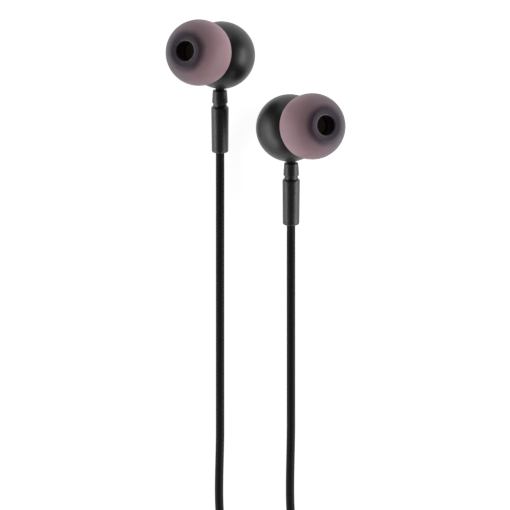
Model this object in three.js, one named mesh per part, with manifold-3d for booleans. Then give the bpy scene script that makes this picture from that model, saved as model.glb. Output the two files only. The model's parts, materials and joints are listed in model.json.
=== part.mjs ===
// Wired in-ear earphones laid flat on a table: two earbuds with silicone tips and short
// cord stems, a branch cord from each, a splitter, and a main cord wound in a neat coil
// that ends in a 3.5 mm plug. Millimetres, +Z up, the table is z = 0, cords run to -Y.
// The origin is below the middle of the two earbuds.
import * as THREE from 'three';
import { mergeVertices } from 'three/addons/utils/BufferGeometryUtils.js';
import Module from 'manifold-3d';

const wasm = await Module();
wasm.setup();

const DEGREE = Math.PI / 180;
const SLIP = 0.05;                 // gap kept between pieces that touch

// Where the earbuds lie
const BUD_X = 6.25;
const LEFT_BUD_Y = 12.51;
const RIGHT_BUD_Y = -0.79;
const BUD_HEIGHT = 6.173;
const NOZZLE_TILT = 28 * DEGREE;   // nozzle axis leans outwards from straight up
const STEM_DIP = 15.1 * DEGREE;    // stem falls towards the table
const STEM_SHIFT = 0.28;           // stem axis stands outwards of the housing centre

// Housing: a ball split behind its middle into a front shell and a back cap
const HOUSING_RADIUS = 6.19;
const HOUSING_BORE = 4.1;
const SEAM = -2.95;                // along the nozzle axis from the housing centre
const CAP_WALL = 0.8;
const VENT_RADIUS = 0.4;
const CORD_HOLE_RADIUS = 0.9;
const HOUSING_SIDES = 20;

// Nozzle and ear tip
const NOZZLE_RADIUS = 2.3;
const NOZZLE_BORE = 1.75;
const NOZZLE_END = 10.6;
const BARB_RADIUS = 2.45;
const SCREEN_SEAT = 9.95;
const TIP_CENTRE = 8.46;
const TIP_RADIUS = 6.0;
const TIP_WALL = 0.55;
const TIP_FRONT = 13.7;
const TIP_BORE = 1.85;
const TIP_SOCKET = 2.52;
const TIP_CORE_RADIUS = 3.15;
const TIP_CORE_REAR = 7.0;

// Driver, a stack along the nozzle axis
const DRIVER_RADIUS = 4.0;
const DRIVER_REAR = 0.6;
const DRIVER_SIDES = 16;
const YOKE = { radius: 3.1, wall: 0.35, rear: 0.9, floor: 1.15, front: 1.95 };
const MAGNET = { radius: 2.1, rear: 1.2, front: 1.55 };
const TOP_PLATE = { radius: 2.2, rear: 1.6, front: 1.85 };
const VOICE_COIL = { inner: 2.32, outer: 2.55, rear: 1.45, front: 2.29 };
const DIAPHRAGM = { dome: 2.6, land: 2.42, radius: 3.12, thickness: 0.08 };
const SURROUND = { inner: 3.2, outer: 3.65, rear: 2.36, front: 2.5 };
const GRILLE = { rear: 2.83, thickness: 0.2, holeRadius: 0.6, holeCircle: 1.9 };

// Small pieces in the housing
const SCREEN = { radius: 1.98, rear: 10, front: 10.2 };
const DAMPER = { radius: 1.45, rear: -5.1, front: -4.75 };
const BOARD = { radius: 2, rear: 0.15, front: 0.5 };
const ANCHOR = { inner: 0.83, outer: 1.2, rear: 3.2, front: 3.8 };
const LEAD_WIRE_RADIUS = 0.14;
const LEAD_WIRE_SPREAD = 0.35;

// Stem pieces, measured along the stem from the housing centre
const CORD_RADIUS = 0.778;
const STEM_BORE = 0.87;
const COLLAR_START = 6.5;
const COLLAR_END = 8.87;
const COLLAR_RADIUS = 1.455;
const SPIGOT_RADIUS = 1.245;
const SLEEVE_START = 9.5;
const SLEEVE_END = 18.17;
const SLEEVE_RADIUS = 1.61;
const STUB_START = 3.15;
const FLEX_POINT = 20.55;          // where the cord reaches the table and bends
const STEM_SIDES = 16;
const CORD_SIDES = 8;

// Main cord, coil, splitter and plug
const MAIN_CORD_RADIUS = 1.0;
const COIL_Y = -108;
const COIL_INNER = 6;
const COIL_OUTER = 16;
const COIL_HEIGHT = 9.15;
const TIE_WIDTH = 3;
const TIE_THICKNESS = 0.35;
const SPLITTER_Y = -127;
const SPLITTER_HALF_LENGTH = 8;
const SPLITTER_THICKNESS = 3.4;
const PLUG_X = -12;
const PLUG_HEIGHT = 11.85;
const PLUG_START_Y = -111;
const PLUG_SIDES = 16;
const RELIEF_END = 6;
const GRIP_RADIUS = 2.7;
const GRIP_END = 18;
const PIN_SEAT = 16.5;
const PIN_RADIUS = 1.75;
const SLEEVE_CONTACT_END = 25.4;
const RING_CONTACT = { rear: 26.15, front: 28.7 };
const TIP_CONTACT = { rear: 29.45, front: 32 };

const FINISH = {
  satinPlastic: { color: 0x1d1c1c, roughness: 0.42, metalness: 0 },
  silicone: { color: 0x7b6a70, roughness: 0.5, metalness: 0 },
  stemRubber: { color: 0x262626, roughness: 0.5, metalness: 0 },
  cordJacket: { color: 0x1b1b1b, roughness: 0.6, metalness: 0 },
  steel: { color: 0x9a9a98, roughness: 0.35, metalness: 1 },
  nickel: { color: 0xc4c2bc, roughness: 0.3, metalness: 1 },
  gold: { color: 0xd9b465, roughness: 0.25, metalness: 1 },
  copper: { color: 0xb4693a, roughness: 0.4, metalness: 1 },
  film: { color: 0xb9b2a6, roughness: 0.3, metalness: 0 },
  board: { color: 0x1f5a38, roughness: 0.5, metalness: 0 },
  felt: { color: 0x6a6a66, roughness: 0.95, metalness: 0 },
  nylon: { color: 0xe2e0da, roughness: 0.5, metalness: 0 },
};

// ---- shapes ----

// Shared vertices are merged, collapsed triangles go, and the faces point out.
function closedShape(geometry) {
  geometry.deleteAttribute('normal');
  geometry.deleteAttribute('uv');
  const merged = mergeVertices(geometry, 1e-4);
  const kept = [];
  for (let i = 0; i < merged.index.count; i += 3) {
    const corners = [0, 1, 2].map((k) => merged.index.getX(i + k));
    if (new Set(corners).size === 3) {
      kept.push(...corners);
    }
  }
  if (volumeOf(merged.attributes.position, kept) < 0) {
    kept.reverse();
  }
  merged.setIndex(kept);
  return merged;
}

function volumeOf(position, index) {
  const corners = [new THREE.Vector3(), new THREE.Vector3(), new THREE.Vector3()];
  let sixVolumes = 0;
  for (let i = 0; i < index.length; i += 3) {
    corners.forEach((corner, k) => corner.fromBufferAttribute(position, index[i + k]));
    sixVolumes += corners[0].dot(corners[1].cross(corners[2]));
  }
  return sixVolumes / 6;
}

// A solid of revolution about +Z from [radius, height] points.
function turned(profile, sides) {
  const points = profile.map(([radius, height]) => new THREE.Vector2(radius, height));
  return closedShape(new THREE.LatheGeometry(points, sides).rotateX(90 * DEGREE));
}

function disc(radius, from, to, sides) {
  return turned([[0, from], [radius, from], [radius, to], [0, to]], sides);
}

function slug({ radius, rear, front }, sides) {
  return disc(radius, rear, front, sides);
}

function washer({ inner, outer, rear, front }, sides) {
  const profile = [[inner, rear], [outer, rear], [outer, front], [inner, front], [inner, rear]];
  return turned(profile, sides);
}

// Profile points on a circle about (0, centre), with angles from the +Z axis.
function roundStretch(centre, radius, fromAngle, toAngle, steps) {
  const points = [];
  for (let i = 0; i <= steps; i += 1) {
    const angle = (fromAngle + ((toAngle - fromAngle) * i) / steps) * DEGREE;
    points.push([radius * Math.sin(angle), centre + radius * Math.cos(angle)]);
  }
  return points;
}

function circleShape(radius, sides) {
  const corners = [];
  for (let i = 0; i < sides; i += 1) {
    const angle = (2 * Math.PI * i) / sides;
    corners.push(new THREE.Vector2(radius * Math.cos(angle), radius * Math.sin(angle)));
  }
  return new THREE.Shape(corners);
}

function tube(route, radius, sides, steps) {
  const points = route.map((point) => new THREE.Vector3(...point));
  const extrudePath = new THREE.CatmullRomCurve3(points, false, 'centripetal');
  const options = { steps, extrudePath, bevelEnabled: false };
  return closedShape(new THREE.ExtrudeGeometry(circleShape(radius, sides), options));
}

function roundedRectangle(left, bottom, right, top, corner, Kind = THREE.Shape) {
  const shape = new Kind();
  shape.moveTo(left + corner, bottom);
  shape.lineTo(right - corner, bottom);
  shape.absarc(right - corner, bottom + corner, corner, -90 * DEGREE, 0);
  shape.absarc(right - corner, top - corner, corner, 0, 90 * DEGREE);
  shape.absarc(left + corner, top - corner, corner, 90 * DEGREE, 180 * DEGREE);
  shape.absarc(left + corner, bottom + corner, corner, 180 * DEGREE, 270 * DEGREE);
  return shape;
}

function toSolid(geometry) {
  const vertProperties = new Float32Array(geometry.attributes.position.array);
  const triVerts = new Uint32Array(geometry.index.array);
  return new wasm.Manifold(new wasm.Mesh({ numProp: 3, vertProperties, triVerts }));
}

function cutAway(geometry, cutter) {
  const mesh = toSolid(geometry).subtract(toSolid(cutter)).getMesh();
  const cut = new THREE.BufferGeometry();
  cut.setAttribute('position', new THREE.BufferAttribute(mesh.vertProperties, 3));
  cut.setIndex(new THREE.BufferAttribute(mesh.triVerts, 1));
  return closedShape(cut);
}

function addPiece(parent, name, geometry, finish) {
  const piece = new THREE.Mesh(geometry, new THREE.MeshStandardMaterial(FINISH[finish]));
  piece.name = name;
  parent.add(piece);
}

// ---- housing, nozzle and tip, turned about the nozzle axis ----

function frontShell(cordHole) {
  const seamAngle = Math.acos(SEAM / HOUSING_RADIUS) / DEGREE;
  const rootAngle = Math.asin(NOZZLE_RADIUS / HOUSING_RADIUS) / DEGREE;
  const profile = [
    ...roundStretch(0, HOUSING_RADIUS, seamAngle, rootAngle, 9),
    [NOZZLE_RADIUS, 9.4],
    [BARB_RADIUS, 9.6],
    [BARB_RADIUS, 10.2],
    [NOZZLE_RADIUS, NOZZLE_END],
    [2.05, NOZZLE_END],
    [2.05, SCREEN_SEAT],
    [NOZZLE_BORE, SCREEN_SEAT],
    [NOZZLE_BORE, 4.7],
    [3.6, 3.1],
    [HOUSING_BORE, 3.1],
    [HOUSING_BORE, SEAM],
  ];
  profile.push(profile[0]);
  return cutAway(turned(profile, HOUSING_SIDES), cordHole);
}

function backCap() {
  const rim = SEAM - SLIP;
  const rimAngle = Math.acos(rim / HOUSING_RADIUS) / DEGREE;
  const inside = HOUSING_RADIUS - CAP_WALL;
  const lipFront = -2.5;
  const lipOuter = HOUSING_BORE - 0.1;
  const lipInner = 3.4;
  const insideAngle = 180 - Math.asin(lipInner / inside) / DEGREE;
  const ventAngle = 180 - Math.asin(VENT_RADIUS / inside) / DEGREE;
  const ventMouth = 180 - Math.asin(VENT_RADIUS / HOUSING_RADIUS) / DEGREE;
  const profile = [
    ...roundStretch(0, inside, ventAngle, insideAngle, 3),
    [lipInner, lipFront],
    [lipOuter, lipFront],
    [lipOuter, rim],
    ...roundStretch(0, HOUSING_RADIUS, rimAngle, ventMouth, 6),
  ];
  profile.push(profile[0]);
  return turned(profile, HOUSING_SIDES);
}

function earTip() {
  const frontAngle = 29;
  const rimAngle = 108;
  const inside = TIP_RADIUS - TIP_WALL;
  const profile = [
    [TIP_BORE, 13.3],
    [2.15, TIP_FRONT - 0.08],
    ...roundStretch(TIP_CENTRE, TIP_RADIUS, frontAngle, rimAngle, 8),
    ...roundStretch(TIP_CENTRE, inside, rimAngle, 38, 6),
    [TIP_CORE_RADIUS, 12.2],
    [TIP_CORE_RADIUS, TIP_CORE_REAR],
    [TIP_SOCKET, TIP_CORE_REAR],
    [TIP_SOCKET, 10.7],
    [TIP_BORE, 10.7],
    [TIP_BORE, 13.3],
  ];
  return turned(profile, HOUSING_SIDES);
}

// ---- driver ----

function driverFrame() {
  const profile = [
    [0.9, DRIVER_REAR],
    [DRIVER_RADIUS, DRIVER_REAR],
    [DRIVER_RADIUS, 2.75],
    [3.7, 2.75],
    [3.7, 2.3],
    [3.2, 2.3],
    [3.2, 0.85],
    [0.9, 0.85],
    [0.9, DRIVER_REAR],
  ];
  return turned(profile, DRIVER_SIDES);
}

function driverYoke() {
  const { radius, wall, rear, floor, front } = YOKE;
  const profile = [
    [0, rear],
    [radius, rear],
    [radius, front],
    [radius - wall, front],
    [radius - wall, floor],
    [0, floor],
  ];
  return turned(profile, DRIVER_SIDES);
}

// A shallow dome with a flat land where the voice coil is glued.
function diaphragm() {
  const { dome, land, radius, thickness } = DIAPHRAGM;
  const front = [[0, dome], [1.4, dome - 0.07], [2.2, land], [radius, land]];
  const rear = front.map(([r, height]) => [r, height - thickness]).reverse();
  return turned([...front, ...rear], DRIVER_SIDES);
}

function driverGrille() {
  const plate = circleShape(DRIVER_RADIUS, DRIVER_SIDES);
  const out = GRILLE.holeCircle;
  for (const [x, y] of [[0, 0], [out, 0], [0, out], [-out, 0], [0, -out]]) {
    const hole = new THREE.Path();
    hole.absarc(x, y, GRILLE.holeRadius, 0, 2 * Math.PI, true);
    plate.holes.push(hole);
  }
  const options = { depth: GRILLE.thickness, bevelEnabled: false, curveSegments: 4 };
  return closedShape(new THREE.ExtrudeGeometry(plate, options).translate(0, 0, GRILLE.rear));
}

// ---- stem ----

function stemCollar() {
  const spigotEnd = SLEEVE_START - SLIP;
  const profile = [
    [STEM_BORE, COLLAR_START],
    [1.2, COLLAR_START],
    [1.32, COLLAR_START + 0.12],
    [COLLAR_RADIUS, COLLAR_END - 0.1],
    [1.38, COLLAR_END],
    [SPIGOT_RADIUS, COLLAR_END],
    [SPIGOT_RADIUS, spigotEnd],
    [STEM_BORE, spigotEnd],
    [STEM_BORE, COLLAR_START],
  ];
  return turned(profile, STEM_SIDES);
}

function stemSleeve() {
  const profile = [
    [STEM_BORE, SLEEVE_START],
    [1.4, SLEEVE_START],
    [SLEEVE_RADIUS, SLEEVE_START + 0.3],
    [1.527, SLEEVE_END - 0.45],
    [1.35, SLEEVE_END],
    [STEM_BORE, SLEEVE_END],
    [STEM_BORE, SLEEVE_START],
  ];
  return turned(profile, STEM_SIDES);
}

// The cord inside the stem, with a ball end centred on the point where it bends.
function cordStub() {
  const ballEnd = roundStretch(FLEX_POINT, CORD_RADIUS, 90, 0, 3);
  return turned([[0, STUB_START], [CORD_RADIUS, STUB_START], ...ballEnd], CORD_SIDES);
}

// An enamelled wire from the cord's inner end, round the frame's rear, to the terminal board.
function leadWire(across, stemInNozzle) {
  const start = new THREE.Vector3(across, 0, STUB_START - 0.1).applyMatrix4(stemInNozzle);
  const route = [
    start.toArray(),
    [across * 1.5, -2.2, -1.1],
    [across * 2, -1.5, -0.7],
    [across * 2.4, -1.2, 0.1],
  ];
  return tube(route, LEAD_WIRE_RADIUS, 6, 6);
}

// ---- one earbud ----

function earbud(name, side, budY) {
  const bud = new THREE.Group();
  bud.position.set(side * BUD_X, budY, BUD_HEIGHT);
  const nozzle = new THREE.Group();
  nozzle.rotation.y = side * NOZZLE_TILT;
  const stem = new THREE.Group();
  stem.position.x = side * STEM_SHIFT;
  stem.rotation.x = 90 * DEGREE + STEM_DIP;
  bud.add(nozzle, stem);
  nozzle.updateMatrix();
  stem.updateMatrix();
  const stemInNozzle = nozzle.matrix.clone().invert().multiply(stem.matrix);
  const cordHole = disc(CORD_HOLE_RADIUS, 3.4, 7.4, STEM_SIDES).applyMatrix4(stemInNozzle);

  addPiece(nozzle, `${name}_ear_tip`, earTip(), 'silicone');
  addPiece(nozzle, `${name}_nozzle_screen`, slug(SCREEN, DRIVER_SIDES), 'steel');
  addPiece(nozzle, `${name}_front_shell`, frontShell(cordHole), 'satinPlastic');
  addPiece(nozzle, `${name}_back_cap`, backCap(), 'satinPlastic');
  addPiece(nozzle, `${name}_rear_damper`, slug(DAMPER, 12), 'felt');
  addPiece(nozzle, `${name}_driver_frame`, driverFrame(), 'satinPlastic');
  addPiece(nozzle, `${name}_driver_yoke`, driverYoke(), 'steel');
  addPiece(nozzle, `${name}_driver_magnet`, slug(MAGNET, DRIVER_SIDES), 'nickel');
  addPiece(nozzle, `${name}_driver_top_plate`, slug(TOP_PLATE, DRIVER_SIDES), 'steel');
  addPiece(nozzle, `${name}_voice_coil`, washer(VOICE_COIL, DRIVER_SIDES), 'copper');
  addPiece(nozzle, `${name}_diaphragm`, diaphragm(), 'film');
  addPiece(nozzle, `${name}_diaphragm_surround`, washer(SURROUND, DRIVER_SIDES), 'film');
  addPiece(nozzle, `${name}_driver_grille`, driverGrille(), 'steel');
  addPiece(nozzle, `${name}_terminal_board`, slug(BOARD, 12), 'board');
  addPiece(nozzle, `${name}_lead_wire_1`, leadWire(-LEAD_WIRE_SPREAD, stemInNozzle), 'copper');
  addPiece(nozzle, `${name}_lead_wire_2`, leadWire(LEAD_WIRE_SPREAD, stemInNozzle), 'copper');

  addPiece(stem, `${name}_cord_anchor`, washer(ANCHOR, 12), 'stemRubber');
  addPiece(stem, `${name}_stem_collar`, stemCollar(), 'stemRubber');
  addPiece(stem, `${name}_stem_sleeve`, stemSleeve(), 'stemRubber');
  addPiece(stem, `${name}_cord_stub`, cordStub(), 'cordJacket');
  return bud;
}

// ---- free cords: routes from the earbuds to the coil, the splitter and the plug ----

const CORD_ROUTES = {
  left_branch_cord: [
    [-6.53, -8.3, 0.8], [-6.53, -24, 0.8], [-6.53, -40, 0.8], [-6.53, -56, 0.8],
    [-6.53, -72, 0.8], [-5.26, -77.7, 0.8], [-1.7, -82.4, 0.8], [3.53, -85.1, 0.8],
    [8.8, -87.8, 0.8], [12.3, -92.5, 0.8], [13.6, -98.2, 0.8],
  ],
  right_branch_cord: [
    [6.53, -21.6, 0.8], [6.53, -38, 0.8], [6.53, -55, 0.8], [6.53, -72, 0.8], [7.65, -77.9, 0.8],
    [10.87, -83, 0.8], [14.08, -88.1, 0.8], [15.2, -94, 0.8], [15.2, -100.7, 0.8],
  ],
  left_branch_tail: [
    [13.5, -117.8, 2.33], [13.45, -120.8, 2.15], [12.7, -123.4, 1.9],
    [10.8, -125.3, 1.75], [9.2, -126.05, 1.7], [8.15, -126.1, 1.7],
  ],
  right_branch_tail: [
    [15.2, -115.2, 2.33], [15.2, -120.8, 2.1], [14.3, -124.3, 1.9],
    [11.7, -126.9, 1.75], [9.2, -127.8, 1.7], [8.15, -127.85, 1.7],
  ],
  main_cord_start: [
    [-8.15, -127, 1.7], [-9, -126.95, 1.75], [-11.5, -126.1, 2],
    [-14.07, -123.5, 2.6], [-15, -120, 3.3], [-15, -116, 3.9],
  ],
  main_cord_end: [
    [0, -118.3, 10.2], [-3, -118.3, 10.5], [-5.5, -118.3, 10.8], [-8.75, -117.43, 11.2],
    [-11.13, -115.05, 11.6], [-11.95, -112.4, 11.83], [-12, -111.12, 11.85],
  ],
};

// One step of tube for about every three diameters of cord.
function cordPiece(name) {
  const route = CORD_ROUTES[name];
  const radius = name.startsWith('main') ? MAIN_CORD_RADIUS : CORD_RADIUS;
  const points = route.map((point) => new THREE.Vector3(...point));
  const length = new THREE.CatmullRomCurve3(points, false, 'centripetal').getLength();
  return tube(route, radius, CORD_SIDES, Math.max(6, Math.round(length / (6 * radius))));
}

function coilRing() {
  const size = { inner: COIL_INNER, outer: COIL_OUTER, rear: 0, front: COIL_HEIGHT };
  const coil = washer(size, 24).translate(0, COIL_Y, 0);
  const notchDepth = TIE_THICKNESS + 2 * SLIP;
  const notch = new THREE.BoxGeometry(TIE_WIDTH + 0.4, COIL_OUTER, 2 * notchDepth);
  return cutAway(coil, closedShape(notch.translate(0, COIL_Y + COIL_OUTER * 0.75, 0)));
}

// A flat band round the whole bundle of turns, in the plane across the cord.
function coilTie() {
  const bottom = TIE_THICKNESS + SLIP;
  const top = bottom + COIL_HEIGHT + SLIP;
  const left = COIL_INNER - 0.4;
  const right = COIL_OUTER + 0.1;
  const grow = TIE_THICKNESS;
  const band = roundedRectangle(left - grow, bottom - grow, right + grow, top + grow, 0.5);
  band.holes.push(roundedRectangle(left, bottom, right, top, 0.15, THREE.Path));
  const options = { depth: TIE_WIDTH, bevelEnabled: false, curveSegments: 2 };
  const geometry = new THREE.ExtrudeGeometry(band, options);
  const acrossTheCord = new THREE.Matrix4().makeBasis(
    new THREE.Vector3(0, 1, 0),
    new THREE.Vector3(0, 0, 1),
    new THREE.Vector3(1, 0, 0),
  );
  return closedShape(geometry.applyMatrix4(acrossTheCord).translate(-TIE_WIDTH / 2, COIL_Y, 0));
}

// Flat moulded block, wider where the two branches enter than where the main cord leaves.
function splitterBlock() {
  const outline = new THREE.Shape();
  const wide = 2.3;
  const narrow = 1.7;
  outline.moveTo(SPLITTER_HALF_LENGTH, wide);
  outline.lineTo(2, wide);
  outline.quadraticCurveTo(-3, wide, -SPLITTER_HALF_LENGTH, narrow);
  outline.lineTo(-SPLITTER_HALF_LENGTH, -narrow);
  outline.quadraticCurveTo(-3, -wide, 2, -wide);
  outline.lineTo(SPLITTER_HALF_LENGTH, -wide);
  const options = { depth: SPLITTER_THICKNESS, bevelEnabled: false, curveSegments: 4 };
  return closedShape(new THREE.ExtrudeGeometry(outline, options).translate(0, SPLITTER_Y, 0));
}

function plug() {
  const group = new THREE.Group();
  group.position.set(PLUG_X, PLUG_START_Y, PLUG_HEIGHT);
  group.rotation.x = -90 * DEGREE;
  const gripStart = RELIEF_END + SLIP;
  const pinHole = PIN_RADIUS + 0.15;
  const relief = [[0, 0], [1.3, 0], [PIN_RADIUS, RELIEF_END], [0, RELIEF_END]];
  const grip = [
    [0, gripStart],
    [2.2, gripStart],
    [GRIP_RADIUS, gripStart + 0.55],
    [GRIP_RADIUS, GRIP_END - 0.1],
    [GRIP_RADIUS - 0.1, GRIP_END],
    [pinHole, GRIP_END],
    [pinHole, PIN_SEAT],
    [0, PIN_SEAT],
  ];
  const tip = [
    [0, TIP_CONTACT.rear],
    [1.15, TIP_CONTACT.rear],
    [1.15, TIP_CONTACT.rear + 0.25],
    [1.7, TIP_CONTACT.rear + 0.85],
    [1.7, TIP_CONTACT.rear + 1.25],
    [0.6, TIP_CONTACT.front],
    [0, TIP_CONTACT.front],
  ];
  const band = (radius, from, to) => disc(radius, from + SLIP, to, PLUG_SIDES);
  const insulatorRadius = PIN_RADIUS - 0.05;
  const ringGap = RING_CONTACT.rear - SLIP;
  const tipGap = TIP_CONTACT.rear - SLIP;
  addPiece(group, 'plug_strain_relief', turned(relief, 12), 'stemRubber');
  addPiece(group, 'plug_grip', turned(grip, PLUG_SIDES), 'satinPlastic');
  addPiece(group, 'plug_sleeve_contact', band(PIN_RADIUS, PIN_SEAT, SLEEVE_CONTACT_END), 'gold');
  addPiece(group, 'plug_insulator_1', band(insulatorRadius, SLEEVE_CONTACT_END, ringGap), 'nylon');
  addPiece(group, 'plug_ring_contact', band(PIN_RADIUS, ringGap, RING_CONTACT.front), 'gold');
  addPiece(group, 'plug_insulator_2', band(insulatorRadius, RING_CONTACT.front, tipGap), 'nylon');
  addPiece(group, 'plug_tip_contact', turned(tip, PLUG_SIDES), 'gold');
  return group;
}

// ---- the whole object ----

const earphones = new THREE.Group();
earphones.add(earbud('left', -1, LEFT_BUD_Y), earbud('right', 1, RIGHT_BUD_Y));
for (const name of Object.keys(CORD_ROUTES)) {
  addPiece(earphones, name, cordPiece(name), 'cordJacket');
}
addPiece(earphones, 'cord_coil', coilRing(), 'cordJacket');
addPiece(earphones, 'coil_tie', coilTie(), 'stemRubber');
addPiece(earphones, 'splitter', splitterBlock(), 'satinPlastic');
earphones.add(plug());

export default earphones;
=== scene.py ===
import json
from math import acos, cos, degrees, exp, pi, radians, sin

import bmesh
import bpy
from mathutils import Matrix, Vector


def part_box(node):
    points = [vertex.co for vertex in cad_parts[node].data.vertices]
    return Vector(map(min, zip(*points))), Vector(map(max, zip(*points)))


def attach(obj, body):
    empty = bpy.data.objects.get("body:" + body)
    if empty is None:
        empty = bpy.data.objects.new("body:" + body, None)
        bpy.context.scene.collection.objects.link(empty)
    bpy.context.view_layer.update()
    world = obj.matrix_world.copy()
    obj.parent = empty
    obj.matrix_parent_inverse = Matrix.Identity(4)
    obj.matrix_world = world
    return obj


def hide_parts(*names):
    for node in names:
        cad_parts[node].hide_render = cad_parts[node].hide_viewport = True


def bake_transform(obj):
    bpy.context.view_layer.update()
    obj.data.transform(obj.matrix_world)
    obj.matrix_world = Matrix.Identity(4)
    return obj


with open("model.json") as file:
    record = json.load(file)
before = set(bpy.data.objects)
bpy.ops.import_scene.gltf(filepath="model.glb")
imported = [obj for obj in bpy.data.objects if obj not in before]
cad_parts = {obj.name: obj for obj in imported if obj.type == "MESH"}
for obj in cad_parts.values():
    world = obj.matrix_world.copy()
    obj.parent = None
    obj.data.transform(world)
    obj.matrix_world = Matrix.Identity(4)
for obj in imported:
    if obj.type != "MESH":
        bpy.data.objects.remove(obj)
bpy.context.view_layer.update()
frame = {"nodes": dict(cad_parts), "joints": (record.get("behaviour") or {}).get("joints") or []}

# ---- Camera ----
# It looks straight down on the table from 0.6 m, and frames both earbuds and the first
# stretch of their cords.
camera = bpy.data.objects.new("camera", bpy.data.cameras.new("camera"))
camera.data.lens = 229.6
camera.data.sensor_width = 36
camera.location = (-0.0001, -0.02398, 0.6)
bpy.context.scene.collection.objects.link(camera)
bpy.context.scene.camera = camera
bpy.context.scene.view_settings.view_transform = "Standard"

# ---- Places of the two earbuds ----
# Each earbud has two lines that its pieces are turned about: the nozzle's, from the middle
# of the ball housing, and the stem's, which falls to the table where the cord bends.
SIDES = {"left": -1, "right": 1}
NOZZLE_TILT = radians(28)
STEM_DIP = radians(15.1)
STEM_SHIFT = 0.00028
FLEX_POINT = 0.02055
SLEEVE_START = 0.0095
SLEEVE_END = 0.01817
joints = {joint["name"]: joint for joint in frame["joints"]}
down_the_stem = Vector((0, -cos(STEM_DIP), -sin(STEM_DIP)))
nozzle_place = {}
stem_place = {}
for name, side in SIDES.items():
    bend = Vector(joints[f"{name}_lift"]["pos_m"])
    middle = bend - down_the_stem * FLEX_POINT
    stem_place[name] = Matrix.Translation(middle) @ Matrix.Rotation(pi / 2 + STEM_DIP, 4, "X")
    middle.x -= side * STEM_SHIFT
    nozzle_place[name] = Matrix.Translation(middle) @ Matrix.Rotation(side * NOZZLE_TILT, 4, "Y")

# ---- Cords ----
# Two thin branch cords, one from each stem, and a thicker main cord: fine strands in a
# matte rubbery jacket. What isn't laid out is wound clockwise into one round coil, the
# branches in the two lowest layers and the main cord above them.
BRANCH_DIAMETER = 0.001556
MAIN_DIAMETER = 0.002
COIL_CENTRE = Vector((0, -0.108, 0))
CLIMB_TURNS = 0.2
COIL_STEPS = 24
TIE_LIFT = 0.0004
TIE_ANGLE = pi / 2
TIE_SPREAD = radians(16)
LYING_HEIGHT = 0.0008
BRANCH_SPACING = 0.0005
MAIN_SPACING = 0.0006
CORD_ROUNDNESS = 6
IN_THE_STEM = (0.0032, 0.0065, 0.01, 0.0135, 0.017, 0.0195)
LEFT_ROUTE = [
    (-0.00653, -0.0083, 0.0008), (-0.00653, -0.024, 0.0008), (-0.00653, -0.04, 0.0008),
    (-0.00653, -0.056, 0.0008), (-0.00653, -0.072, 0.0008), (-0.00526, -0.0777, 0.0008),
    (-0.0017, -0.0824, 0.0008), (0.00353, -0.0851, 0.0008), (0.0088, -0.0878, 0.0008),
    (0.0123, -0.0925, 0.0008), (0.0136, -0.0982, 0.0008),
]
RIGHT_ROUTE = [
    (0.00653, -0.0216, 0.0008), (0.00653, -0.038, 0.0008), (0.00653, -0.055, 0.0008),
    (0.00653, -0.072, 0.0008), (0.00765, -0.0779, 0.0008), (0.01087, -0.083, 0.0008),
    (0.01408, -0.0881, 0.0008), (0.0152, -0.094, 0.0008), (0.0152, -0.1007, 0.0008),
]
LEFT_TAIL = [
    (0.0135, -0.1178, 0.00233), (0.01345, -0.1208, 0.00215), (0.0127, -0.1234, 0.0019),
    (0.0108, -0.1253, 0.00175), (0.0092, -0.12605, 0.0017), (0.00815, -0.1261, 0.0017),
    (0.005, -0.1261, 0.0017),
]
RIGHT_TAIL = [
    (0.0152, -0.1152, 0.00233), (0.0152, -0.1208, 0.0021), (0.0143, -0.1243, 0.0019),
    (0.0117, -0.1269, 0.00175), (0.0092, -0.1278, 0.0017), (0.00815, -0.12785, 0.0017),
    (0.005, -0.12785, 0.0017),
]
MAIN_START = [
    (-0.005, -0.127, 0.0017), (-0.00815, -0.127, 0.0017), (-0.009, -0.12695, 0.00175),
    (-0.0115, -0.1261, 0.002), (-0.01407, -0.1235, 0.0026), (-0.015, -0.12, 0.0033),
    (-0.015, -0.116, 0.0039),
]
MAIN_END = [
    (-0.003, -0.1183, 0.0105), (-0.0055, -0.1183, 0.0108), (-0.00875, -0.11743, 0.0112),
    (-0.01113, -0.11505, 0.0116), (-0.01195, -0.1124, 0.01183), (-0.012, -0.11112, 0.01185),
    (-0.012, -0.107, 0.01185),
]


def eased(part):
    part = min(max(part, 0), 1)
    return part * part * (3 - 2 * part)


def coil_turns(outer, pitch, layer_turns, height, rise, turns, start, last_rise=0):
    """Points of a cord wound in flat spirals, inwards, up one layer, outwards and so on."""
    points = []
    for i in range(round(turns * COIL_STEPS) + 1):
        turn = i / COIL_STEPS
        layer, wound = divmod(turn, layer_turns + CLIMB_TURNS)
        inward = pitch * min(wound, layer_turns)
        radius = outer - inward if layer % 2 == 0 else outer - pitch * layer_turns + inward
        angle = start - 2 * pi * turn
        past_tie = (angle - TIE_ANGLE + pi) % (2 * pi) - pi
        z = height + rise * (layer + eased((wound - layer_turns) / CLIMB_TURNS))
        z += TIE_LIFT * exp(-((past_tie / TIE_SPREAD) ** 2))
        z += last_rise * eased((turn - turns + CLIMB_TURNS) / CLIMB_TURNS)
        points.append(COIL_CENTRE + Vector((radius * cos(angle), radius * sin(angle), z)))
    return points


def between(a, b, at_a, at_b, at):
    return a * ((at_b - at) / (at_b - at_a)) + b * ((at - at_a) / (at_b - at_a))


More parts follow.
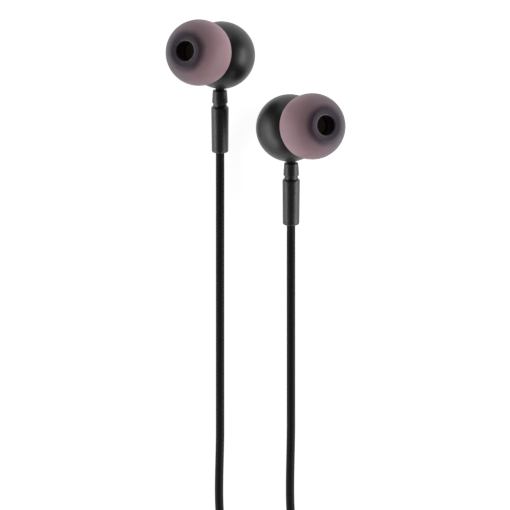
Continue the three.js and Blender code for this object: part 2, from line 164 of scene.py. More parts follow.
def smooth_line(points, spacing):
    """Closely spaced points on one smooth curve through these."""
    points = [Vector(point) for point in points]
    padded = [2 * points[0] - points[1], *points, 2 * points[-1] - points[-2]]
    line = []
    for a, b, c, d in zip(padded, padded[1:], padded[2:], padded[3:]):
        k = [0.0]
        for p, q in ((a, b), (b, c), (c, d)):
            k.append(k[-1] + (q - p).length ** 0.5)
        steps = max(1, round((c - b).length / spacing))
        for i in range(steps):
            at = k[1] + (k[2] - k[1]) * i / steps
            ab = between(a, b, k[0], k[1], at)
            bc = between(b, c, k[1], k[2], at)
            cd = between(c, d, k[2], k[3], at)
            abc = between(ab, bc, k[0], k[2], at)
            bcd = between(bc, cd, k[1], k[3], at)
            line.append(between(abc, bcd, k[1], k[2], at))
    return [*line, points[-1]]


def new_piece(name, shape, material, sharp=35):
    """Turns a bmesh into a shown object with smooth shading and sharp corners."""
    mesh = bpy.data.meshes.new(name)
    bmesh.ops.remove_doubles(shape, verts=shape.verts, dist=1e-7)
    bmesh.ops.recalc_face_normals(shape, faces=shape.faces)
    shape.to_mesh(mesh)
    shape.free()
    mesh.shade_smooth()
    mesh.set_sharp_from_angle(angle=radians(sharp))
    mesh.materials.append(material)
    piece = bpy.data.objects.new(name, mesh)
    bpy.context.scene.collection.objects.link(piece)
    return piece


def tubes(name, lines, diameter, roundness, material):
    """Round tubes with closed ends along these lines, as one mesh."""
    curve = bpy.data.curves.new(name, "CURVE")
    curve.dimensions = "3D"
    curve.bevel_depth = diameter / 2
    curve.bevel_resolution = roundness
    curve.use_fill_caps = True
    for line in lines:
        spline = curve.splines.new("POLY")
        spline.points.add(len(line) - 1)
        for point, place in zip(spline.points, line):
            point.co = (*place, 1)
    carrier = bpy.data.objects.new(name + "_line", curve)
    bpy.context.scene.collection.objects.link(carrier)
    placed = carrier.evaluated_get(bpy.context.evaluated_depsgraph_get())
    shape = bmesh.new()
    shape.from_mesh(placed.to_mesh())
    bpy.data.objects.remove(carrier)
    return new_piece(name, shape, material, 60)


class Level:
    """A number that varies over a surface: sums on it add Math nodes to its finish."""

    def __init__(self, finish, socket):
        self.finish = finish
        self.socket = socket

    def math(self, operation, *values):
        made = self.finish.node("ShaderNodeMath", {"operation": operation}, dict(enumerate(values)))
        return Level(self.finish, made.outputs[0])

    def __add__(self, other):
        return self.math("ADD", self, other)

    def __sub__(self, other):
        return self.math("SUBTRACT", self, other)

    def __rsub__(self, other):
        return self.math("SUBTRACT", other, self)

    def __mul__(self, other):
        return self.math("MULTIPLY", self, other)

    def __pow__(self, power):
        return self.math("POWER", self, power)

    __radd__ = __add__
    __rmul__ = __mul__

    def step(self, low, high):
        """0 below low, 1 above high, smooth between."""
        settings = {"interpolation_type": "SMOOTHSTEP"}
        values = {"Value": self, "From Min": low, "From Max": high}
        made = self.finish.node("ShaderNodeMapRange", settings, values)
        return Level(self.finish, made.outputs[0])


class Finish:
    """One material: its node tree, and ways to add to it."""

    def __init__(self, name, **fixed):
        self.material = bpy.data.materials.new(name)
        self.material.use_nodes = True
        self.tree = self.material.node_tree
        self.shader = self.tree.nodes["Principled BSDF"]
        for socket, value in fixed.items():
            self.shader.inputs[socket.replace("_", " ")].default_value = value
        self.place = self.node("ShaderNodeTexCoord").outputs["Object"]

    def node(self, kind, settings=None, values=None):
        made = self.tree.nodes.new(kind)
        for setting, value in (settings or {}).items():
            setattr(made, setting, value)
        for socket, value in (values or {}).items():
            self.feed(made.inputs[socket], value)
        return made

    def feed(self, socket, value):
        if isinstance(value, Level):
            value = value.socket
        if isinstance(value, bpy.types.NodeSocket):
            self.tree.links.new(value, socket)
        else:
            socket.default_value = value

    def noise(self, size, detail=2.0):
        """Cloudy variation from 0 to 1, with patches about this many metres across."""
        values = {"Vector": self.place, "Scale": 1 / size, "Detail": detail}
        return Level(self, self.node("ShaderNodeTexNoise", None, values).outputs[0])

    def mix(self, amount, a, b):
        """Colour a where amount is 0 and colour b where it is 1."""
        # Sockets 6 and 7 take the two colours, and output 2 gives the mixed one.
        made = self.node("ShaderNodeMix", {"data_type": "RGBA"}, {0: amount, 6: a, 7: b})
        return made.outputs[2]

    def frame_of(self, place):
        """x, y and z in the frame of this placed piece."""
        centre, turn, _ = place.decompose()
        values = {"Vector": self.place, "Location": centre, "Rotation": turn.to_euler()}
        turned_back = self.node("ShaderNodeMapping", {"vector_type": "TEXTURE"}, values)
        parts = self.node("ShaderNodeSeparateXYZ", None, {0: turned_back.outputs[0]})
        return [Level(self, output) for output in parts.outputs]

    def finish(self, colour, roughness, height=None, depth=0.00001):
        self.feed(self.shader.inputs["Base Color"], colour)
        self.feed(self.shader.inputs["Roughness"], roughness)
        if height is not None:
            values = {"Height": height, "Distance": depth, "Strength": 0.6}
            bump = self.node("ShaderNodeBump", None, values)
            self.feed(self.shader.inputs["Normal"], bump.outputs[0])
        return self.material


def cord_jacket(name):
    """Matte elastomer, a little greyer where it has been handled, with a fine skin."""
    jacket = Finish(name, Specular_IOR_Level=0.25)
    worn = jacket.noise(0.006, 3)
    skin = jacket.noise(0.00022, 2)
    colour = jacket.mix(worn, (0.006, 0.006, 0.0063, 1), (0.011, 0.011, 0.0115, 1))
    return jacket.finish(colour, 0.6 + skin * 0.2, skin, 0.000004)


jacket = cord_jacket("cord_jacket")
branch_turns = {
    "pitch": 0.0032, "layer_turns": 1.4, "height": LYING_HEIGHT, "rise": 0.00156, "turns": 3,
    "start": 0,
}
left_coil = coil_turns(outer=0.0136, **branch_turns)
right_coil = coil_turns(outer=0.0152, **branch_turns)
main_coil = coil_turns(
    outer=0.015, pitch=MAIN_DIAMETER, layer_turns=4, height=0.00415, rise=MAIN_DIAMETER,
    turns=10.75, start=pi, last_rise=0.00205,
)
cord_lines = {}
for name, route, coil, tail in (
    ("left", LEFT_ROUTE, left_coil, LEFT_TAIL),
    ("right", RIGHT_ROUTE, right_coil, RIGHT_TAIL),
):
    in_stem = [stem_place[name] @ Vector((0, 0, along)) for along in IN_THE_STEM]
    line = smooth_line([*in_stem, *route, *coil, *tail], BRANCH_SPACING)
    cord_lines[name] = [Vector((x, y, max(z, LYING_HEIGHT))) for x, y, z in line]
cord_lines["main"] = smooth_line([*MAIN_START, *main_coil, *MAIN_END], MAIN_SPACING)
cords = {
    "left": tubes("left_cord", [cord_lines["left"]], BRANCH_DIAMETER, CORD_ROUNDNESS, jacket),
    "right": tubes("right_cord", [cord_lines["right"]], BRANCH_DIAMETER, CORD_ROUNDNESS, jacket),
    "main": tubes("main_cord", [cord_lines["main"]], MAIN_DIAMETER, CORD_ROUNDNESS, jacket),
}
for name in SIDES:
    bend = Vector(joints[f"{name}_lift"]["pos_m"])
    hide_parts(f"{name}_branch_cord", f"{name}_branch_tail", f"{name}_cord_stub")
    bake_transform(cords[name])
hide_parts("main_cord_start", "main_cord_end", "cord_coil")
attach(cords["main"], "cord_set")


# ---- Splitter ----
# The moulded block where the two branches join the main cord: a flat bar of satin plastic
# with soft edges, wider at the branches' end. It lies on its back.
def moulded_plastic(name, dark, light, gloss, grain=0.00022, depth=0.00002, **fixed):
    """Satin moulded plastic: faint cloudiness, a fine even grain, and a few dull patches."""
    plastic = Finish(name, **fixed)
    cloud = plastic.noise(0.004, 3)
    fine = plastic.noise(grain, 2)
    dull = plastic.noise(0.0011, 4).step(0.55, 0.8)
    colour = plastic.mix(cloud * 0.7 + fine * 0.3, (*dark, 1), (*light, 1))
    return plastic.finish(colour, gloss + fine * 0.14 + dull * 0.06, fine, depth)


splitter_plastic = moulded_plastic("splitter_plastic", (0.009,) * 3, (0.017,) * 3, 0.38)
splitter_low, splitter_high = (Vector(corner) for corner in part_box("splitter"))
splitter_middle = (splitter_low + splitter_high) / 2
SPLITTER_ROUND = 0.0006
# Corners of one long side, from the branches' end, in shares of half the length and width.
SPLITTER_SIDE = ((1, 1), (0.25, 1), (-0.3, 0.94), (-0.7, 0.8), (-1, 0.72))
half_length = (splitter_high.x - splitter_low.x) / 2
half_width = (splitter_high.y - splitter_low.y) / 2
thickness = splitter_high.z - splitter_low.z
shape = bmesh.new()
long_side = []
for along, across in SPLITTER_SIDE:
    long_side.append((splitter_middle.x + half_length * along, half_width * across))
corners = [(x, splitter_middle.y + y) for x, y in long_side]
corners += [(x, splitter_middle.y - y) for x, y in reversed(long_side)]
base = shape.faces.new([shape.verts.new((x, y, splitter_low.z)) for x, y in corners])
grown = bmesh.ops.extrude_face_region(shape, geom=[base])
risen = [part for part in grown["geom"] if isinstance(part, bmesh.types.BMVert)]
bmesh.ops.translate(shape, vec=(0, 0, thickness), verts=risen)
bmesh.ops.recalc_face_normals(shape, faces=shape.faces)
sharp_edges = [edge for edge in shape.edges if edge.calc_face_angle(0) > radians(30)]
bmesh.ops.bevel(
    shape, geom=sharp_edges, offset=SPLITTER_ROUND, affect="EDGES", segments=5, profile=0.5,
    material=-1,
)
splitter = new_piece("splitter_block", shape, splitter_plastic, 25)
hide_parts("splitter")
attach(splitter, "cord_set")


# ---- Turned shapes, and the plug ----
# A standard 3.5 mm three-contact plug: a tapered strain relief with grooves, a grip with
# finger rings, and a gold plated pin whose contacts are parted by two insulators.
def rounded(outline, closed, steps=5):
    """Radius and height pairs of an outline whose points may have a third value, the size
    of the round that takes the corner's place."""
    points = []
    for i, (radius, height, *corner) in enumerate(outline):
        here = Vector((radius, height))
        at_end = i in (0, len(outline) - 1)
        if not corner or (at_end and not closed):
            points.append(here)
            continue
        before = Vector(outline[i - 1][:2]) - here
        after = Vector(outline[(i + 1) % len(outline)][:2]) - here
        reach = min(corner[0], before.length * 0.49, after.length * 0.49)
        first = here + before.normalized() * reach
        last = here + after.normalized() * reach
        for j in range(steps + 1):
            part = j / steps
            points.append(first * (1 - part) ** 2 + here * 2 * part * (1 - part) + last * part**2)
    return points


def turned(name, outline, place, material, sides=64, closed=True):
    """A solid of revolution about the place's z axis. An open outline ends on the axis."""
    shape = bmesh.new()
    verts = [shape.verts.new((r, 0, z)) for r, z in rounded(outline, closed)]
    edges = [shape.edges.new(pair) for pair in zip(verts, verts[1:])]
    if closed:
        edges.append(shape.edges.new((verts[-1], verts[0])))
    bmesh.ops.spin(
        shape, geom=verts + edges, cent=(0, 0, 0), axis=(0, 0, 1),
        angle=2 * pi, steps=sides, use_merge=True,
    )
    bmesh.ops.transform(shape, matrix=place, verts=shape.verts)
    return new_piece(name, shape, material)


def plated_metal(name, dark, light, gloss, scratches=0.00025):
    """Plated metal with fine scratches and slightly tarnished patches."""
    metal = Finish(name, Metallic=1.0)
    patch = metal.noise(0.0018, 3)
    scratch = metal.noise(scratches, 5)
    colour = metal.mix(patch, (*dark, 1), (*light, 1))
    return metal.finish(colour, gloss + scratch * 0.16, scratch, 0.000003)


def soft_rubber(name, dark, light, gloss):
    """Soft moulded elastomer: matte, finely pebbled, greyer in worn patches."""
    rubber = Finish(name, Specular_IOR_Level=0.7)
    worn = rubber.noise(0.0009, 4)
    pebble = rubber.noise(0.0003, 3)
    colour = rubber.mix(worn, (*dark, 1), (*light, 1))
    return rubber.finish(colour, gloss + pebble * 0.14, pebble, 0.00007)


relief_low, relief_high = (Vector(corner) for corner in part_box("plug_strain_relief"))
relief_middle = (relief_low + relief_high) / 2
cord_entry = Vector((relief_middle.x, relief_low.y, relief_middle.z))
plug_place = Matrix.Translation(cord_entry) @ Matrix.Rotation(-pi / 2, 4, "X")
CORNER = 0.0001
RELIEF_BORE = 0.00103
RELIEF_LENGTH = 0.006
RELIEF_RADIUS = 0.00174
GROOVES = 4
GROOVE_PITCH = 0.0013
GROOVE_DEPTH = 0.00018
GROOVE_TAPER = 0.00004
GRIP_RADIUS = 0.0027
GRIP_START = 0.00605
GRIP_END = 0.018
PIN_HOLE_RADIUS = 0.0019
PIN_HOLE_END = 0.0165
FINGER_RINGS = 4
RING_PITCH = 0.0014
RING_DEPTH = 0.0002
PIN_RADIUS = 0.00175
INSULATOR_RADIUS = 0.0017
PIN_WAIST = 0.00115
PIN_END = 0.032
relief_outline = [(RELIEF_BORE, 0)]
for groove in range(GROOVES):
    start = 0.0004 + groove * GROOVE_PITCH
    radius = 0.00128 + groove * 0.0001
    bottom = radius - GROOVE_DEPTH
    relief_outline += [
        (radius, start, CORNER), (radius + GROOVE_TAPER, start + 0.0008, CORNER),
        (bottom, start + 0.0009, CORNER), (bottom + GROOVE_TAPER, start + 0.0012, CORNER),
    ]
relief_outline += [
    (RELIEF_RADIUS, 0.0056, CORNER), (RELIEF_RADIUS, RELIEF_LENGTH), (RELIEF_BORE, RELIEF_LENGTH),
]
grip_outline = [(0, GRIP_START), (0.0021, GRIP_START, 0.0003), (GRIP_RADIUS, 0.0067, 0.0004)]
for ring in range(FINGER_RINGS):
    start = 0.0086 + ring * RING_PITCH
    bottom = GRIP_RADIUS - RING_DEPTH
    grip_outline += [
        (GRIP_RADIUS, start, CORNER), (bottom, start + 0.0001, CORNER),
        (bottom, start + 0.0006, CORNER), (GRIP_RADIUS, start + 0.0007, CORNER),
    ]
grip_outline += [
    (GRIP_RADIUS, GRIP_END, 0.0003), (PIN_HOLE_RADIUS, GRIP_END, 0.00008),
    (PIN_HOLE_RADIUS, PIN_HOLE_END), (0, PIN_HOLE_END),
]
tip_contact_outline = [
    (0, 0.02945), (PIN_WAIST, 0.02945, CORNER), (PIN_WAIST, 0.0297, CORNER),
    (0.0017, 0.0303, 0.0002), (0.0017, 0.0307, 0.0003), (0.0006, PIN_END, 0.0003), (0, PIN_END),
]
gold = plated_metal("plug_gold", (0.72, 0.46, 0.16), (0.86, 0.6, 0.25), 0.16)
plug_rubber = soft_rubber("plug_rubber", (0.012,) * 3, (0.02,) * 3, 0.5)
plug_plastic = moulded_plastic("plug_plastic", (0.01,) * 3, (0.018,) * 3, 0.4)
insulator = moulded_plastic("plug_insulator", (0.02,) * 3, (0.035,) * 3, 0.3)


def pin_band(radius, start, end):
    """Outline of one plain length of the pin, its two edges just broken."""
    return [(0, start), (radius, start, 0.00006), (radius, end, 0.00006), (0, end)]


for node, outline, material, slot in (
    ("plug_strain_relief", relief_outline, plug_rubber, "stem_rubber"),
    ("plug_grip", grip_outline, plug_plastic, "satin_plastic"),
    ("plug_sleeve_contact", pin_band(PIN_RADIUS, 0.01655, 0.0254), gold, "gold"),
    ("plug_insulator_1", pin_band(INSULATOR_RADIUS, 0.02541, 0.02614), insulator, "insulator"),
    ("plug_ring_contact", pin_band(PIN_RADIUS, 0.02615, 0.0287), gold, "gold"),
    ("plug_insulator_2", pin_band(INSULATOR_RADIUS, 0.02871, 0.02944), insulator, "insulator"),
    ("plug_tip_contact", tip_contact_outline, gold, "gold"),
):
    closed = node == "plug_strain_relief"
    piece = turned(node + "_made", outline, plug_place, material, closed=closed)
    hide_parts(node)
    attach(piece, "cord_set")


# ---- Coil tie ----
# A soft rubber band that holds all the turns of the coil together at one place. It is cut
# from thin sheet, with round corners, and closes into a flat loop.
tie_low, tie_high = (Vector(corner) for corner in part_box("coil_tie"))
TIE_THICKNESS = 0.00034
TIE_ROUND = 0.0011
tie_middle = (tie_low + tie_high) / 2
shape = bmesh.new()
bmesh.ops.create_grid(shape, x_segments=1, y_segments=1, size=0.5)
bmesh.ops.transform(shape, matrix=Matrix.Rotation(pi / 2, 4, "Y"), verts=shape.verts)
size = tie_high - tie_low
bmesh.ops.scale(shape, vec=(1, size.y, size.z), verts=shape.verts)
bmesh.ops.bevel(
    shape, geom=list(shape.verts), offset=TIE_ROUND, affect="VERTICES", segments=6, profile=0.5,
    material=-1,
)
bmesh.ops.inset_region(
    shape, faces=list(shape.faces), thickness=TIE_THICKNESS, use_boundary=True,
    use_even_offset=True,
)
centre_face = max(shape.faces, key=lambda face: face.calc_area())
bmesh.ops.delete(shape, geom=[centre_face], context="FACES")
grown = bmesh.ops.extrude_face_region(shape, geom=list(shape.faces))
moved = [part for part in grown["geom"] if isinstance(part, bmesh.types.BMVert)]
bmesh.ops.translate(shape, vec=(size.x, 0, 0), verts=moved)
bmesh.ops.translate(shape, vec=(tie_low.x, tie_middle.y, tie_middle.z), verts=shape.verts)
tie_rubber = soft_rubber("tie_rubber", (0.02, 0.02, 0.021), (0.035, 0.035, 0.036), 0.55)
tie = new_piece("coil_tie_band", shape, tie_rubber)
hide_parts("coil_tie")
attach(tie, "cord_set")

# ---- Stems ----
# Below each housing a short tapered collar with a groove under it, then a longer sleeve
# that grips the cord: soft black rubber, moulded on, with rounded edges.
STEM_BORE = 0.0008
COLLAR_START = 0.0065
COLLAR_END = 0.00887
COLLAR_FOOT = SLEEVE_START - 0.00002
NECK_RADIUS = 0.001245
SLEEVE_RADIUS = 0.00161
collar_outline = [
    (STEM_BORE, COLLAR_START), (0.0013, COLLAR_START, 0.00022), (0.001455, COLLAR_END, 0.00016),
    (NECK_RADIUS, COLLAR_END, 0.00008), (NECK_RADIUS, COLLAR_FOOT), (STEM_BORE, COLLAR_FOOT),
]
sleeve_outline = [
    (STEM_BORE, SLEEVE_START), (0.00138, SLEEVE_START, 0.0001),
    (SLEEVE_RADIUS, SLEEVE_START + 0.0003, 0.0002), (0.001527, SLEEVE_END, 0.00055),
    (STEM_BORE, SLEEVE_END, 0.0001),
]
stem_rubber = soft_rubber("stem_rubber", (0.004,) * 3, (0.011,) * 3, 0.34)
for name in SIDES:
    for node, outline in (("stem_collar", collar_outline), ("stem_sleeve", sleeve_outline)):
        piece = turned(f"{name}_{node}_made", outline, stem_place[name], stem_rubber)
        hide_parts(f"{name}_{node}")
        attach(piece, f"{name}_earbud")


# ---- Housings ----
# A ball of satin black plastic in two shells. The front one carries the nozzle, and the back
# cap, with a small vent hole in its middle, plugs into it with a lip. A fine seam is between.
HOUSING_RADIUS = 0.00619
SEAM = -0.00295
SEAM_GAP = 0.000005
SEAM_ROUND = 0.00012
NOZZLE_RADIUS = 0.0023
NOZZLE_END = 0.0106
NOZZLE_BORE = 0.00175
BARB_RADIUS = 0.00245
SEAT_RADIUS = 0.00205
SEAT_HEIGHT = 0.00995
DRIVER_SPACE = 0.0041
SHOULDER = 0.0031
LIP_RADIUS = 0.004


def arc(centre, radius, from_angle, to_angle, steps):
    """Outline points on a circle about (0, centre), with angles in degrees from the z axis."""
    points = []
    for i in range(steps + 1):
        angle = radians(from_angle + (to_angle - from_angle) * i / steps)
        points.append((radius * sin(angle), centre + radius * cos(angle)))
    return points


def angle_at(height, radius):
    return degrees(acos(height / radius))


seam_angle = angle_at(SEAM, HOUSING_RADIUS)
cap_angle = angle_at(SEAM - SEAM_GAP, HOUSING_RADIUS)
seam_radius = HOUSING_RADIUS * sin(radians(seam_angle))
front_outline = [
    (seam_radius, SEAM, SEAM_ROUND), *arc(0, HOUSING_RADIUS, seam_angle - 1.5, 25, 48),
    (NOZZLE_RADIUS, 0.00576, 0.0003), (NOZZLE_RADIUS, 0.0094, CORNER),
    (BARB_RADIUS, 0.0096, CORNER), (BARB_RADIUS, 0.0102, CORNER),
    (NOZZLE_RADIUS, NOZZLE_END, CORNER), (SEAT_RADIUS, NOZZLE_END, 0.00005),
    (SEAT_RADIUS, SEAT_HEIGHT), (NOZZLE_BORE, SEAT_HEIGHT, 0.00005), (NOZZLE_BORE, 0.0047, 0.0004),
    (0.0036, SHOULDER, 0.0003), (DRIVER_SPACE, SHOULDER), (DRIVER_SPACE, SEAM, CORNER),
]
cap_outline = [
    *arc(0, 0.00539, 175.5, 141, 14), (0.0034, -0.0025, CORNER), (LIP_RADIUS, -0.0025, CORNER),
    (LIP_RADIUS, SEAM - SEAM_GAP), (seam_radius, SEAM - SEAM_GAP, SEAM_ROUND),
    *arc(0, HOUSING_RADIUS, cap_angle + 1.5, 176.3, 30),
]
housing_plastic = moulded_plastic(
    "housing_plastic", (0.002, 0.002, 0.002), (0.013, 0.0128, 0.0125), 0.31,
)
for name in SIDES:
    for node, outline in (("front_shell", front_outline), ("back_cap", cap_outline)):
        piece = turned(f"{name}_{node}_made", outline, nozzle_place[name], housing_plastic, 128)
        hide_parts(f"{name}_{node}")
        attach(piece, f"{name}_earbud")

# ---- Nozzle screens ----
# Fine woven wire cloth, cut to a disc and pressed into the nozzle's mouth. The wires pass
# over and under each other.
SCREEN_RADIUS = 0.00195
SCREEN_HEIGHT = 0.01012
WIRE_PITCH = 0.00026
WIRE_DIAMETER = 0.00011
WAVE = 0.000045


def wire_cloth(place):
    """The lines of all the wires of one screen, laid across the mouth of this nozzle."""
    lines = []
    count = int(SCREEN_RADIUS / WIRE_PITCH)
    for across in range(-count, count + 1):
        reach = int((SCREEN_RADIUS**2 - (across * WIRE_PITCH) ** 2) ** 0.5 / WIRE_PITCH)
        if reach < 1:
            continue
        for direction in (0, 1):
            line = []
            for half_step in range(-2 * reach, 2 * reach + 1):
                along = half_step / 2
                height = SCREEN_HEIGHT + WAVE * cos(pi * (along + across + direction))
                point = Vector((along * WIRE_PITCH, across * WIRE_PITCH, height))
                if direction:
                    point = Vector((point.y, point.x, point.z))
                line.append(place @ Matrix.Rotation(pi / 4, 4, "Z") @ point)
            lines.append(line)
    return lines


wire = moulded_plastic("screen_wire", (0.3, 0.25, 0.17), (0.5, 0.42, 0.3), 0.4)
for name in SIDES:
    screen = tubes(f"{name}_screen_cloth", wire_cloth(nozzle_place[name]), WIRE_DIAMETER, 1, wire)
    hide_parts(f"{name}_nozzle_screen")
    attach(screen, f"{name}_earbud")

# ---- Ear tips ----
# Smoky, slightly translucent silicone: a thin domed skirt turned back round a thick core
# that grips the nozzle. The core shows through the front as a darker ring round the bore.
TIP_CENTRE = 0.00846
TIP_RADIUS = 0.006
TIP_WALL = 0.00055
TIP_BORE = 0.00185
CORE_RADIUS = 0.00315
CORE_END = 0.007
GRIPPING_RADIUS = 0.00252
tip_outline = [
    (TIP_BORE, 0.01368, 0.00022), (0.0029, 0.01371, 0.0005),
    *arc(TIP_CENTRE, TIP_RADIUS, 32, 106, 44),
    (0.0057, 0.0066, 0.00025), (0.0052, 0.00678, 0.00025),
    *arc(TIP_CENTRE, TIP_RADIUS - TIP_WALL, 105, 40, 24),
    (CORE_RADIUS, 0.0122, 0.0005), (CORE_RADIUS, CORE_END, 0.0002),
    (GRIPPING_RADIUS, CORE_END, 0.0002), (GRIPPING_RADIUS, 0.0107, CORNER), (TIP_BORE, 0.0107, CORNER),
]
RING_COLOUR = (0.035, 0.024, 0.045, 1)
OUTER_COLOUR = (0.075, 0.064, 0.085, 1)
# Painted light: the side of the tip towards the housing is coloured lighter and pinker, as if lit.
PAINTED_LIGHT_SIDE_COLOUR = (0.38, 0.24, 0.27, 1)
# Painted highlight: a light colour for the rims at the bore and along the skirt's rear edge.
PAINTED_RIM_HIGHLIGHT_COLOUR = (0.42, 0.38, 0.41, 1)
# Where one colour gives way to the next, across the tip, out from its axis or up along it.
TOWARDS_HOUSING = (-0.0055, 0.0065)
CORE_EDGE = (0.0033, 0.0045)
FRONT_EDGE = (0.0105, 0.0125)
BORE_EDGE = (0.00192, 0.00212)
MOUTH_EDGE = (0.0132, 0.0136)
REAR_EDGE = (0.0066, 0.00705)


def smoky_silicone(name, side, place):
    """Greyish silicone, darker over the core, with painted light making the side towards the housing
    lighter and painted highlights lightening the rims.
    """
    silicone = Finish(
        name, Subsurface_Weight=0.3, Subsurface_Scale=0.0012,
        Subsurface_Radius=(1.0, 0.7, 0.8), Specular_IOR_Level=0.3,
    )
    x, y, z = silicone.frame_of(place)
    from_axis = (x * x + y * y) ** 0.5
    cloud = silicone.noise(0.0018, 3)
    fine = silicone.noise(0.0001, 2)
    # Painted light: this mask makes the side of the tip towards the housing lighter and pinker.
    inward = (x * -side + cloud * 0.0012).step(*TOWARDS_HOUSING)
    body = silicone.mix(inward, OUTER_COLOUR, PAINTED_LIGHT_SIDE_COLOUR)
    core = 1 - (from_axis + cloud * 0.0005).step(*CORE_EDGE)
    ringed = silicone.mix(core * z.step(*FRONT_EDGE) * 0.85, body, RING_COLOUR)
    # Painted highlights: these masks lighten the bore's rim and the skirt's rear edge.
    mouth = (1 - from_axis.step(*BORE_EDGE)) * z.step(*MOUTH_EDGE)
    rear = 1 - z.step(*REAR_EDGE)
    colour = silicone.mix(mouth * 0.25 + rear * 0.5, ringed, PAINTED_RIM_HIGHLIGHT_COLOUR)
    return silicone.finish(colour, 0.42 + fine * 0.14, fine, 0.000008)


for name, side in SIDES.items():
    silicone = smoky_silicone(f"{name}_silicone", side, nozzle_place[name])
    tip = turned(f"{name}_ear_tip_made", tip_outline, nozzle_place[name], silicone, 128)
    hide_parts(f"{name}_ear_tip")
    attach(tip, f"{name}_tip")


# ---- Drivers, inside the housings ----
# Each has a moulded frame, a steel yoke, magnet and top plate, a copper voice coil on a
# thin film diaphragm, and a stamped cover. A small board behind it takes the two lead
# wires, a rubber bead anchors the cord, and a felt disc damps the vent.
def enamelled_wire(name):
    """Copper wire wound side by side under clear enamel."""
    copper = Finish(name, Metallic=1.0, Coat_Weight=0.4)
    uneven = copper.noise(0.0005, 3)
    strand = copper.noise(0.00004, 1)
    colour = copper.mix(uneven, (0.42, 0.16, 0.07, 1), (0.66, 0.3, 0.15, 1))
    return copper.finish(colour, 0.25 + strand * 0.2, strand, 0.00001)


def pressed_felt(name):
    """Short pressed fibres, lighter where they stand up."""
    felt = Finish(name, Specular_IOR_Level=0.1)
    tuft = felt.noise(0.00012, 6)
    colour = felt.mix(tuft, (0.1, 0.1, 0.095, 1), (0.34, 0.34, 0.32, 1))
    return felt.finish(colour, 0.9 + tuft * 0.1, tuft, 0.00006)


frame_plastic = moulded_plastic("driver_frame_plastic", (0.03,) * 3, (0.05,) * 3, 0.5)
steel = plated_metal("driver_steel", (0.38, 0.38, 0.39), (0.56, 0.56, 0.57), 0.28)
magnet_plating = plated_metal("magnet_plating", (0.5, 0.49, 0.46), (0.66, 0.65, 0.62), 0.2, 0.0006)
copper = enamelled_wire("enamelled_copper")
film = moulded_plastic("diaphragm_film", (0.5, 0.46, 0.4), (0.66, 0.63, 0.58), 0.2, 0.0004, 0.00001)
mask = moulded_plastic("board_mask", (0.01, 0.09, 0.04), (0.03, 0.17, 0.08), 0.35, 0.0003)
felt = pressed_felt("damper_felt")
anchor_rubber = soft_rubber("anchor_rubber", (0.02,) * 3, (0.04,) * 3, 0.6)
EDGE = 0.00005
DOME_HEIGHT = 0.0026
LAND_HEIGHT = 0.00242
FILM = 0.00008


def slug(radius, rear, front):
    """Outline of a solid disc."""
    return [(0, rear), (radius, rear, EDGE), (radius, front, EDGE), (0, front)]


def washer(inner, outer, rear, front):
    """Outline of a disc with a round hole."""
    corners = ((inner, rear), (outer, rear), (outer, front), (inner, front))
    return [(radius, height, EDGE) for radius, height in corners]


def domed_film():
    """A shallow dome, then the flat land that the voice coil is glued to, one film thick."""
    front = [(0, DOME_HEIGHT), (0.0014, DOME_HEIGHT - 0.00007, 0.0006)]
    front += [(0.0022, LAND_HEIGHT, 0.0004), (0.00312, LAND_HEIGHT)]
    rear = [(point[0], point[1] - FILM, *point[2:]) for point in reversed(front)]
    return front + rear


frame_outline = [
    (0.0009, 0.0006), (0.004, 0.0006, EDGE), (0.004, 0.00275, EDGE), (0.0037, 0.00275, EDGE),
    (0.0037, 0.0023), (0.0032, 0.0023, EDGE), (0.0032, 0.00085), (0.0009, 0.00085, EDGE),
]
yoke_outline = [
    (0, 0.0009), (0.0031, 0.0009, 0.00015), (0.0031, 0.00195, EDGE), (0.00275, 0.00195, EDGE),
    (0.00275, 0.00115, 0.0001), (0, 0.00115),
]
roll_outline = [
    (0.0032, 0.00236), (0.0033, 0.00236), (0.00342, 0.00245, 0.00008), (0.00355, 0.00236),
    (0.00365, 0.00236), (0.00365, 0.0024), (0.00356, 0.0024), (0.00342, 0.0025, 0.00008),
    (0.00329, 0.0024), (0.0032, 0.0024),
]
INSIDE = (
    ("driver_frame", frame_outline, True, frame_plastic, "inner_plastic"),
    ("driver_yoke", yoke_outline, False, steel, "steel"),
    ("driver_magnet", slug(0.0021, 0.0012, 0.00155), False, magnet_plating, "nickel"),
    ("driver_top_plate", slug(0.0022, 0.0016, 0.00185), False, steel, "steel"),
    ("voice_coil", washer(0.00232, 0.00255, 0.00145, 0.00229), True, copper, "copper"),
    ("diaphragm", domed_film(), False, film, "film"),
    ("diaphragm_surround", roll_outline, True, film, "film"),
    ("terminal_board", slug(0.002, 0.00015, 0.0005), False, mask, "board"),
    ("rear_damper", slug(0.00145, -0.0051, -0.00475), False, felt, "felt"),
)
for name in SIDES:
    for node, outline, closed, material, slot in INSIDE:
        piece = turned(f"{name}_{node}_made", outline, nozzle_place[name], material, closed=closed)
        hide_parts(f"{name}_{node}")
        moves = node in ("voice_coil", "diaphragm")
        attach(piece, f"{name}_diaphragm_set" if moves else f"{name}_earbud")
    bead = turned(
        f"{name}_cord_anchor_made", washer(0.00083, 0.0012, 0.0032, 0.0038), stem_place[name],
        anchor_rubber,
    )
    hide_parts(f"{name}_cord_anchor")
    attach(bead, f"{name}_earbud")
    for node, material in (("driver_grille", steel), ("lead_wire_1", copper), ("lead_wire_2", copper)):
        kept = frame["nodes"][f"{name}_{node}"]
        kept.data.materials.clear()
        kept.data.materials.append(material)

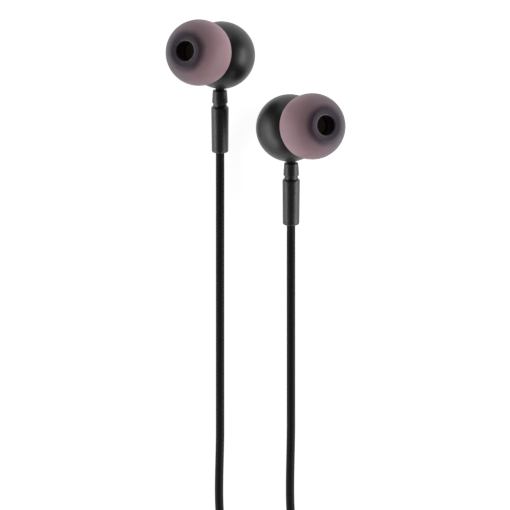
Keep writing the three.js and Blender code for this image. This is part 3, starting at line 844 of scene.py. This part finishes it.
# ---- Table and light ----
# A plain white table that glows a little, in a dim room with a white backdrop. Two wide soft
# lights stand low on the left and right, and a weaker one beyond the earbuds.
FLOOR_SIZE = 3.0
FLOOR_DROP = 0.00002
FLOOR_GLOW = 0.86
ROOM_LIGHT = 0.08
shape = bmesh.new()
bmesh.ops.create_grid(shape, x_segments=1, y_segments=1, size=FLOOR_SIZE / 2)
bmesh.ops.translate(shape, vec=(0, 0, -FLOOR_DROP), verts=shape.verts)
white = Finish(
    "table_white", Specular_IOR_Level=0.0, Emission_Color=(1, 1, 1, 1),
    Emission_Strength=FLOOR_GLOW,
)
speck = white.noise(0.02, 2)
white.finish(white.mix(speck, (0.8, 0.8, 0.8, 1), (0.82, 0.82, 0.82, 1)), 0.9)
floor = new_piece("table", shape, white.material)


def soft_light(name, place, size, power):
    """An area light at this place, aimed at the middle of the table."""
    lamp = bpy.data.lights.new(name, "AREA")
    lamp.shape = "RECTANGLE"
    lamp.size, lamp.size_y = size
    lamp.energy = power
    light = bpy.data.objects.new(name, lamp)
    light.location = place
    light.rotation_euler = (Vector((0, 0, 0)) - Vector(place)).to_track_quat("-Z", "Y").to_euler()
    bpy.context.scene.collection.objects.link(light)


soft_light("left_light", place=(-0.64, -0.24, 0.15), size=(1.0, 0.26), power=3.4)
soft_light("right_light", place=(0.64, -0.24, 0.15), size=(1.0, 0.26), power=4.4)
soft_light("far_light", place=(0, 0.75, 0.3), size=(0.8, 0.3), power=1.2)
world = bpy.data.worlds.new("studio")
world.use_nodes = True
nodes = world.node_tree.nodes
dark_room = nodes["Background"]
dark_room.inputs["Color"].default_value = (ROOM_LIGHT, ROOM_LIGHT, ROOM_LIGHT, 1)
white_wall = nodes.new("ShaderNodeBackground")
white_wall.inputs["Color"].default_value = (1, 1, 1, 1)
seen = nodes.new("ShaderNodeLightPath")
chosen = nodes.new("ShaderNodeMixShader")
world.node_tree.links.new(seen.outputs["Is Camera Ray"], chosen.inputs[0])
world.node_tree.links.new(dark_room.outputs[0], chosen.inputs[1])
world.node_tree.links.new(white_wall.outputs[0], chosen.inputs[2])
world.node_tree.links.new(chosen.outputs[0], nodes["World Output"].inputs["Surface"])
bpy.context.scene.world = world
